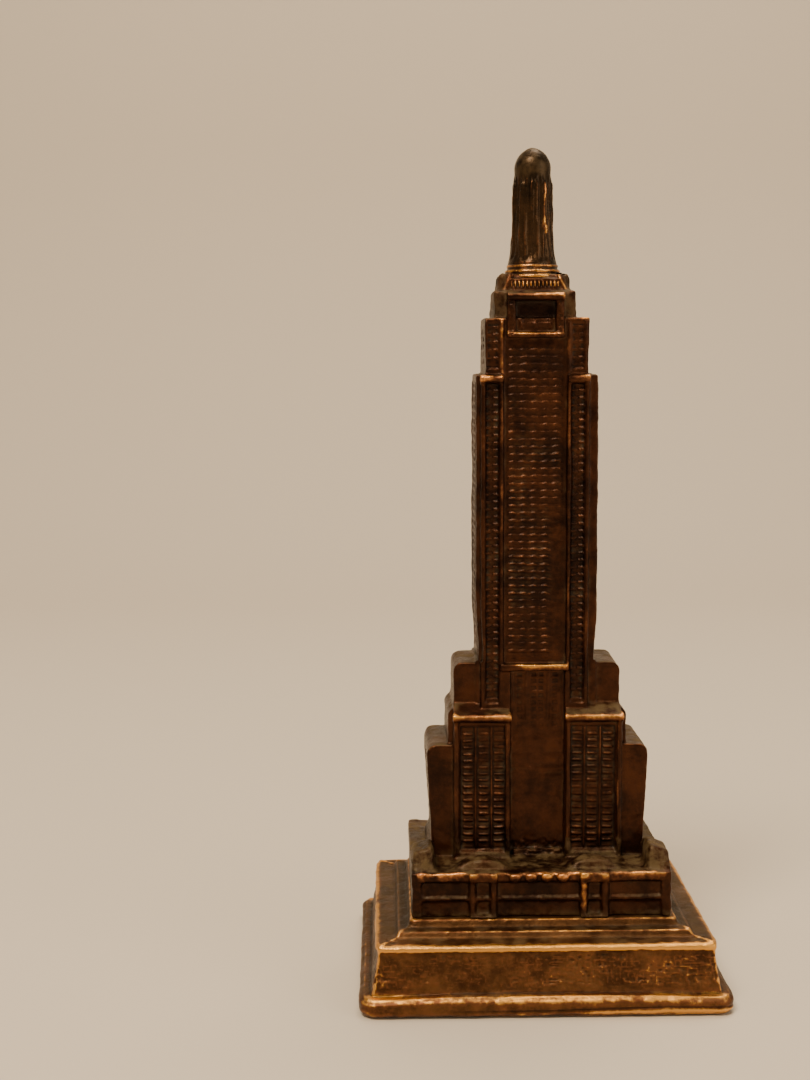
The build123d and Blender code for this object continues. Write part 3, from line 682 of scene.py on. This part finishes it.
def shape_plinth(cast):
    """Soft mouldings, a hollowed and crinkled band, ridged mitres and a lumpy bead."""
    cast.relax(5)
    normals = cast.normals()
    x, y, z = cast.points.T
    outer = (np.abs(x) > 24.0) | (np.abs(y) > 17.5)
    level = np.hypot(normals[:, 0], normals[:, 1])
    outward = (normals[:, 0] * x + normals[:, 1] * y > 0) & outer
    leaning = smoothstep(0.5, 0.8, level) * smoothstep(0.05, 0.15, normals[:, 2]) * outward
    band = span(z, 4.2, 12.0, 1.0) * leaning
    hollow = -0.28 * np.sin(math.pi * np.clip((z - 4.2) / 7.6, 0.0, 1.0)) * band
    mitre = np.abs(x) - np.abs(y) - MITRE_OFFSET
    ridge = 0.24 * bump(mitre, 0.0, 0.6) * span(z, 3.6, 15.0, 1.0) * (outward | (normals[:, 2] > 0.5))
    low = (1.0 - smoothstep(3.9, 4.8, z)) * smoothstep(0.2, 0.6, level) * outward
    lumpy = 0.13 * (lumps(cast.points, 4.5, 71, 3) - 1.0)
    crease_at = 1.9 + 0.6 * noise(cast.points, 11.0, 75)
    crease = -0.22 * bump(z, crease_at, 0.26) * smoothstep(-0.5, 0.2, noise(cast.points, 9.0, 77))
    height = hollow + 0.55 * band * crinkle(cast.points) + ridge + low * (lumpy + crease)
    rim = bump(z, RIM_TOP - 0.7, 0.9) * outward
    height = height + rim * (0.16 + 0.10 * lumps(cast.points, 2.2, 79, 2))
    cast.points += normals * height[:, None]
    droop = smoothstep(0.45, 1.0, np.abs(x) / 34.0) * bump(z, 4.4, 1.6) * outer
    cast.points[:, 2] -= 0.5 * droop
    cast.swell(0.07 * lumps(cast.points, 6.0, 81, 2) - 0.04)
    cast.swell(0.04 * lumps(cast.points, 1.7, 91, 2) + 0.015 * noise(cast.points, 0.7, 93))


def finish_plinth(cast):
    """Rubs the bead, the rim and the step edges, which hands and dusters reach first; makes the steps
    above the rim darker and paints shade on the left and right sides.
    """
    normals, fine, broad = convexity(cast)
    x, y, z = cast.points.T
    up = normals[:, 2]
    patch = smoothstep(-0.9, 0.5, lumps(cast.points, 7.0, 221, 3))
    edge = smoothstep(0.03, 0.13, broad + 0.5 * fine)
    rub = edge * (0.45 + 0.35 * smoothstep(0.0, 0.7, up))
    rim = bump(z, RIM_TOP - 0.4, 0.9) * smoothstep(0.0, 0.05, broad)
    golden_end = smoothstep(4.0, 14.0, x) * bump(z, 1.2, 0.7)
    foot = (0.22 + 0.55 * bump(z, 3.7, 0.6) + 0.7 * golden_end) * (z < 4.9)
    on_band = span(z, 4.6, 12.2, 0.5)
    hatch = smoothstep(0.002, 0.02, fine) * on_band
    rub = rub + 1.1 * rim + foot + 0.28 * hatch + 0.18 * span(z, 4.4, 12.6, 1.0)
    # Painted shade on the left and right sides: darker there, and less rubbed.
    side_on = smoothstep(7.0, 9.0, np.abs(x) - np.abs(y)) * (z < 15.0)
    rub = rub * (1.0 - 0.5 * side_on)
    # Darker on the steps above the rim; painted shade on the sides.
    above = (z > RIM_TOP + 0.4) * (1.0 - edge)
    shaded = 0.35 * above + 0.5 * side_on * (1.0 - edge)
    fine = fine * (1.0 - 0.5 * on_band)
    keep_finish(cast, rub * (0.65 + 0.35 * patch), fine, broad, normals, 0.0, shaded)


# ---- materials ----------------------------------------------------------------------------------
def new_material(name):
    """A new node material, with its tree and its shader."""
    material = bpy.data.materials.new(name)
    material.use_nodes = True
    tree = material.node_tree
    shader = tree.nodes["Principled BSDF"]
    return material, tree, shader


def node(tree, kind, inputs=None, **settings):
    """One shader node. inputs holds values or sockets by the input's name or number."""
    made = tree.nodes.new(kind)
    for key, value in settings.items():
        setattr(made, key, value)
    for key, value in (inputs or {}).items():
        if isinstance(value, bpy.types.NodeSocket):
            tree.links.new(value, made.inputs[key])
        else:
            made.inputs[key].default_value = value
    return made


def maths(tree, operation, a, b=0.0, c=0.0, clamp=False):
    """A maths node's result."""
    inputs = {0: a, 1: b, 2: c}
    return node(tree, "ShaderNodeMath", inputs, operation=operation, use_clamp=clamp).outputs[0]


def rise(tree, value, low, high):
    """0 at low, 1 at high, smoothly between."""
    made = node(
        tree,
        "ShaderNodeMapRange",
        {"Value": value, "From Min": low, "From Max": high},
        interpolation_type="SMOOTHSTEP",
    )
    return made.outputs["Result"]


def blend_colours(tree, share, a, b):
    """Colour a where share is 0 and colour b where it is 1."""
    made = tree.nodes.new("ShaderNodeMix")
    made.data_type = "RGBA"
    for key, value in (("Factor", share), ("A", a), ("B", b)):
        sockets = [s for s in made.inputs if s.name == key and (s.type == "RGBA" or key == "Factor")]
        socket = sockets[0]
        if isinstance(value, bpy.types.NodeSocket):
            tree.links.new(value, socket)
        else:
            socket.default_value = value
    return [s for s in made.outputs if s.type == "RGBA"][0]


def speckle(tree, scale, detail=4.0, roughness=0.6):
    """Noise in the object's own space; scale is lumps per metre."""
    place = node(tree, "ShaderNodeTexCoord").outputs["Object"]
    made = node(
        tree,
        "ShaderNodeTexNoise",
        {"Vector": place, "Scale": scale, "Detail": detail, "Roughness": roughness},
    )
    return made.outputs["Fac"]


def patina(name, dark, brown, copper, dust_share, gloss_rough=0.38, roughened=0.7):
    """Copper plate under a dark antique wash, rubbed bright where it stands proud, dusty in corners,
    darker in small hollows and with painted shade.
    """
    material, tree, shader = new_material(name)
    rub = node(tree, "ShaderNodeAttribute", attribute_name="rub").outputs["Fac"]
    dust = node(tree, "ShaderNodeAttribute", attribute_name="dust").outputs["Fac"]
    hollow_dark_and_shade = node(tree, "ShaderNodeAttribute", attribute_name="hollow_dark_and_shade").outputs["Fac"]
    cloud = speckle(tree, 110.0, 5.0, 0.6)
    blotch = speckle(tree, 420.0, 5.0, 0.65)
    grain = speckle(tree, 1700.0, 4.0, 0.65)
    grit = speckle(tree, 5200.0, 3.0, 0.7)

    break_up = maths(tree, "MULTIPLY", maths(tree, "SUBTRACT", blotch, 0.5), 0.7)
    break_up = maths(tree, "MULTIPLY_ADD", maths(tree, "SUBTRACT", grain, 0.5), 0.5, break_up)
    rubbed = maths(tree, "ADD", rub, break_up)
    half_bare = rise(tree, rubbed, 0.10, 0.48)
    bare = rise(tree, rubbed, 0.42, 0.80)

    mottle = maths(tree, "MULTIPLY", cloud, 0.6)
    mottle = maths(tree, "MULTIPLY_ADD", blotch, 0.4, mottle)
    colour = blend_colours(tree, rise(tree, mottle, 0.36, 0.64), dark, brown)
    colour = blend_colours(tree, maths(tree, "MULTIPLY", half_bare, 0.8), colour, HALF_BARE)
    metal_colour = blend_colours(tree, rise(tree, cloud, 0.38, 0.60), copper, GOLD)
    colour = blend_colours(tree, bare, colour, metal_colour)

    dusty = maths(tree, "MULTIPLY", dust, rise(tree, blotch, 0.34, 0.62))
    dusty = maths(tree, "MULTIPLY", dusty, maths(tree, "SUBTRACT", 1.0, bare, clamp=True))
    dusty = maths(tree, "MULTIPLY", dusty, dust_share)
    colour = blend_colours(tree, dusty, colour, DUST)
    # Darker in small hollows, and painted shade where the finish asked for it.
    colour = blend_colours(tree, maths(tree, "MULTIPLY", hollow_dark_and_shade, 0.8), colour, HOLLOW_AND_SHADE_DARK)
    pit = rise(tree, grit, 0.66, 0.74)
    colour = blend_colours(tree, maths(tree, "MULTIPLY", pit, 0.55), colour, PIT)
    tree.links.new(colour, shader.inputs["Base Color"])

    shader.inputs["Specular IOR Level"].default_value = 0.3
    shader.inputs["Coat Weight"].default_value = 0.06
    shader.inputs["Coat Roughness"].default_value = 0.22
    shader.inputs["Coat Tint"].default_value = (1.0, 0.93, 0.86, 1.0)
    metal = maths(tree, "MULTIPLY_ADD", bare, 0.18, 0.82)
    metal = maths(tree, "MULTIPLY", metal, maths(tree, "SUBTRACT", 1.0, dusty, clamp=True), clamp=True)
    tree.links.new(metal, shader.inputs["Metallic"])
    rough = maths(tree, "MULTIPLY_ADD", maths(tree, "SUBTRACT", grain, 0.5), 0.35, gloss_rough)
    rough = maths(tree, "MULTIPLY_ADD", bare, -0.05, rough)
    rough = maths(tree, "MULTIPLY_ADD", dusty, 0.45, rough)
    tree.links.new(maths(tree, "MAXIMUM", rough, 0.16, clamp=True), shader.inputs["Roughness"])

    height = maths(tree, "MULTIPLY_ADD", grain, 0.7, maths(tree, "MULTIPLY", blotch, 0.9))
    height = maths(tree, "MULTIPLY_ADD", grit, 0.25, height)
    relief = node(tree, "ShaderNodeBump", {"Height": height, "Strength": roughened, "Distance": 0.00018})
    tree.links.new(relief.outputs["Normal"], shader.inputs["Normal"])
    return material


def steel():
    """Dull plated steel for the fixings."""
    material, tree, shader = new_material("plated_steel")
    cloud = speckle(tree, 600.0)
    colour = blend_colours(tree, rise(tree, cloud, 0.35, 0.65), STEEL_DARK, STEEL_LIGHT)
    tree.links.new(colour, shader.inputs["Base Color"])
    shader.inputs["Metallic"].default_value = 1.0
    rough = maths(tree, "ADD", 0.28, maths(tree, "MULTIPLY", cloud, 0.25))
    tree.links.new(rough, shader.inputs["Roughness"])
    return material


def chipboard():
    """Grey-brown pressed card with flecks."""
    material, tree, shader = new_material("pressed_card")
    fleck = speckle(tree, 2200.0, 5.0, 0.7)
    cloud = speckle(tree, 120.0)
    colour = blend_colours(tree, rise(tree, cloud, 0.35, 0.65), CARD_DARK, CARD_LIGHT)
    colour = blend_colours(tree, rise(tree, fleck, 0.60, 0.72), colour, CARD_FLECK)
    tree.links.new(colour, shader.inputs["Base Color"])
    shader.inputs["Roughness"].default_value = 0.9
    relief = node(tree, "ShaderNodeBump", {"Height": fleck, "Strength": 0.4, "Distance": 0.0001})
    tree.links.new(relief.outputs["Normal"], shader.inputs["Normal"])
    return material


def felt():
    """Dark pressed wool with short fibres."""
    material, tree, shader = new_material("wool_felt")
    fibre = speckle(tree, 5200.0, 6.0, 0.8)
    cloud = speckle(tree, 260.0)
    colour = blend_colours(tree, rise(tree, cloud, 0.3, 0.7), FELT_DARK, FELT_LIGHT)
    colour = blend_colours(tree, rise(tree, fibre, 0.58, 0.75), colour, FELT_FIBRE)
    tree.links.new(colour, shader.inputs["Base Color"])
    shader.inputs["Roughness"].default_value = 1.0
    shader.inputs["Sheen Weight"].default_value = 0.5
    shader.inputs["Sheen Roughness"].default_value = 0.5
    relief = node(tree, "ShaderNodeBump", {"Height": fibre, "Strength": 0.7, "Distance": 0.0002})
    tree.links.new(relief.outputs["Normal"], shader.inputs["Normal"])
    return material


def dress(node_name, material):
    """Puts a material on a CAD node that stays as it is."""
    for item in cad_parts[node_name].material_slots:
        item.link = "OBJECT"
        item.material = material


# ---- felt pad -----------------------------------------------------------------------------------
def felt_sheet(material):
    """The die-cut pad, with rounded corners and a slightly uneven cut edge."""
    low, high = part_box("felt_pad")
    half_w = (high[0] - low[0]) / 2 / MM
    half_d = (high[1] - low[1]) / 2 / MM
    thickness = (high[2] - low[2]) / MM
    outline = []
    for i in range(PAD_POINTS):
        angle = 2 * math.pi * i / PAD_POINTS
        c = math.cos(angle)
        s = math.sin(angle)
        across = (half_w - PAD_CORNER) / max(abs(c), 1e-9)
        along = (half_d - PAD_CORNER) / max(abs(s), 1e-9)
        reach = min(across, along)
        outline.append((c * reach + PAD_CORNER * c, s * reach + PAD_CORNER * s))
    outline = np.clip(np.array(outline), (-half_w, -half_d), (half_w, half_d))
    levels = []
    for share in np.linspace(0.04, 1.0, PAD_RINGS):
        levels.append((share * 0.995, thickness))
    levels.append((1.0, thickness * 0.72))
    levels.append((1.0, thickness * 0.3))
    for share in np.linspace(1.0, 0.04, PAD_RINGS):
        levels.append((share * 0.995, 0.0))
    points = []
    for share, z in levels:
        for px, py in outline:
            points.append((px * share, py * share, z))
    points = np.array(points)
    inner = (points[:, 2] > 0.1) & (points[:, 2] < thickness * 0.9)
    wobble = 0.12 * (noise(points, 1.3, 5) - 1.0) * inner
    length = np.maximum(np.hypot(points[:, 0], points[:, 1]), 1.0)
    points[:, 0] += points[:, 0] / length * wobble
    points[:, 1] += points[:, 1] / length * wobble
    faces = []
    count = len(levels)
    for level in range(count - 1):
        for i in range(PAD_POINTS):
            j = (i + 1) % PAD_POINTS
            a = level * PAD_POINTS
            b = a + PAD_POINTS
            faces.append((a + i, b + i, b + j, a + j))
    faces.append(tuple(range(PAD_POINTS)))
    faces.append(tuple(reversed(range((count - 1) * PAD_POINTS, count * PAD_POINTS))))
    mesh = bpy.data.meshes.new("felt_pad_cut")
    mesh.from_pydata([tuple(p * MM) for p in points], [], faces)
    mesh.materials.append(material)
    work = bmesh.new()
    work.from_mesh(mesh)
    bmesh.ops.recalc_face_normals(work, faces=work.faces)
    work.to_mesh(mesh)
    work.free()
    for polygon in mesh.polygons:
        polygon.use_smooth = True
    piece = bpy.data.objects.new("felt_pad_cut", mesh)
    bpy.context.scene.collection.objects.link(piece)
    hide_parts("felt_pad")
    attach(piece, "root")
    return piece


# ---- studio -------------------------------------------------------------------------------------
def make_camera():
    """The photograph's viewpoint: a little to the left and above, with a 52 mm lens."""
    yaw = math.radians(CAMERA_YAW)
    pitch = math.radians(CAMERA_PITCH)
    roll_angle = math.radians(CAMERA_ROLL)
    level = math.cos(pitch)
    forward = Vector((math.sin(yaw) * level, math.cos(yaw) * level, -math.sin(pitch)))
    right = Vector((math.cos(yaw), -math.sin(yaw), 0.0))
    up = right.cross(forward)
    c = math.cos(roll_angle)
    s = math.sin(roll_angle)
    right, up = c * right + s * up, -s * right + c * up
    camera = bpy.data.cameras.new("camera")
    camera.lens = CAMERA_LENS
    camera.sensor_width = SENSOR_WIDTH
    camera.clip_start = 0.01
    camera.dof.use_dof = False
    eye = bpy.data.objects.new("camera", camera)
    columns = Matrix((right, up, -forward)).transposed()
    eye.matrix_world = Matrix.Translation(Vector(CAMERA_PLACE) * MM) @ columns.to_4x4()
    bpy.context.scene.collection.objects.link(eye)
    bpy.context.scene.camera = eye


def make_backdrop():
    """A plain pale floor that curves up behind into a wall."""
    material, tree, shader = new_material("pale_paper")
    colour = blend_colours(tree, speckle(tree, 3.0), PAPER_DARK, PAPER_LIGHT)
    tree.links.new(colour, shader.inputs["Base Color"])
    shader.inputs["Roughness"].default_value = 0.9
    profile = [(FLOOR_FRONT, 0.0), (FLOOR_BACK, 0.0)]
    for i in range(1, BEND_STEPS + 1):
        angle = math.pi / 2 * i / BEND_STEPS
        y = FLOOR_BACK + BEND_RADIUS * math.sin(angle)
        profile.append((y, BEND_RADIUS * (1 - math.cos(angle))))
    profile.append((FLOOR_BACK + BEND_RADIUS, WALL_TOP))
    points = []
    for side in (-BACKDROP_HALF_WIDTH, BACKDROP_HALF_WIDTH):
        points += [(side, y, z) for y, z in profile]
    count = len(profile)
    faces = [(i, i + count, i + count + 1, i + 1) for i in range(count - 1)]
    mesh = bpy.data.meshes.new("backdrop")
    mesh.from_pydata(points, [], faces)
    mesh.materials.append(material)
    for polygon in mesh.polygons:
        polygon.use_smooth = True
    backdrop = bpy.data.objects.new("backdrop", mesh)
    bpy.context.scene.collection.objects.link(backdrop)


def lamp(name, place, aim, size, power, colour):
    """A square soft box that looks at a point."""
    light = bpy.data.lights.new(name, "AREA")
    light.size = size
    light.energy = power
    light.color = colour
    holder = bpy.data.objects.new(name, light)
    direction = Vector(aim) - Vector(place)
    holder.location = place
    holder.rotation_euler = direction.to_track_quat("-Z", "Y").to_euler()
    bpy.context.scene.collection.objects.link(holder)


def make_lights():
    """A soft key high on the left, a fill low on the right and a top light behind, in a pale room."""
    lamp("key", (-0.30, -0.50, 0.90), (0.0, 0.0, 0.08), 0.36, 10.5, (1.0, 0.82, 0.60))
    lamp("fill", (0.75, -0.50, 0.35), (0.0, 0.0, 0.07), 0.60, 2.6, (1.0, 0.85, 0.66))
    lamp("top", (0.15, 0.25, 0.95), (0.0, 0.0, 0.08), 0.45, 5.0, (1.0, 0.84, 0.64))
    world = bpy.data.worlds.new("room")
    world.use_nodes = True
    background = world.node_tree.nodes["Background"]
    background.inputs["Color"].default_value = (0.84, 0.69, 0.52, 1.0)
    background.inputs["Strength"].default_value = 0.35
    bpy.context.scene.world = world


# ---- the object ---------------------------------------------------------------------------------
make_camera()
make_backdrop()
make_lights()

tower = cast_of("tower_casting", TOWER_VOXEL)
shape_tower(tower)
finish_tower(tower)
metal = patina("tower_patina", DARK, BROWN, COPPER, 0.85)
finish_cast(tower, "tower_casting", "tower_cast_shell", TOWER_TRIANGLES, metal)

mast = cast_of("mast_casting", MAST_VOXEL)
shape_mast(mast)
finish_mast(mast)
metal = patina("mast_patina", MAST_DARK, MAST_BROWN, COPPER, 0.6, 0.30, 0.45)
finish_cast(mast, "mast_casting", "mast_cast", MAST_TRIANGLES, metal)

plinth = cast_of("plinth_casting", PLINTH_VOXEL)
shape_plinth(plinth)
finish_plinth(plinth)
metal = patina("plinth_patina", PLINTH_DARK, PLINTH_BROWN, BRASSY, 0.6, 0.44)
finish_cast(plinth, "plinth_casting", "plinth_cast_shell", PLINTH_TRIANGLES, metal)

felt_sheet(felt())
dress("tie_screws", steel())
dress("tie_washers", steel())
dress("base_card", chipboard())
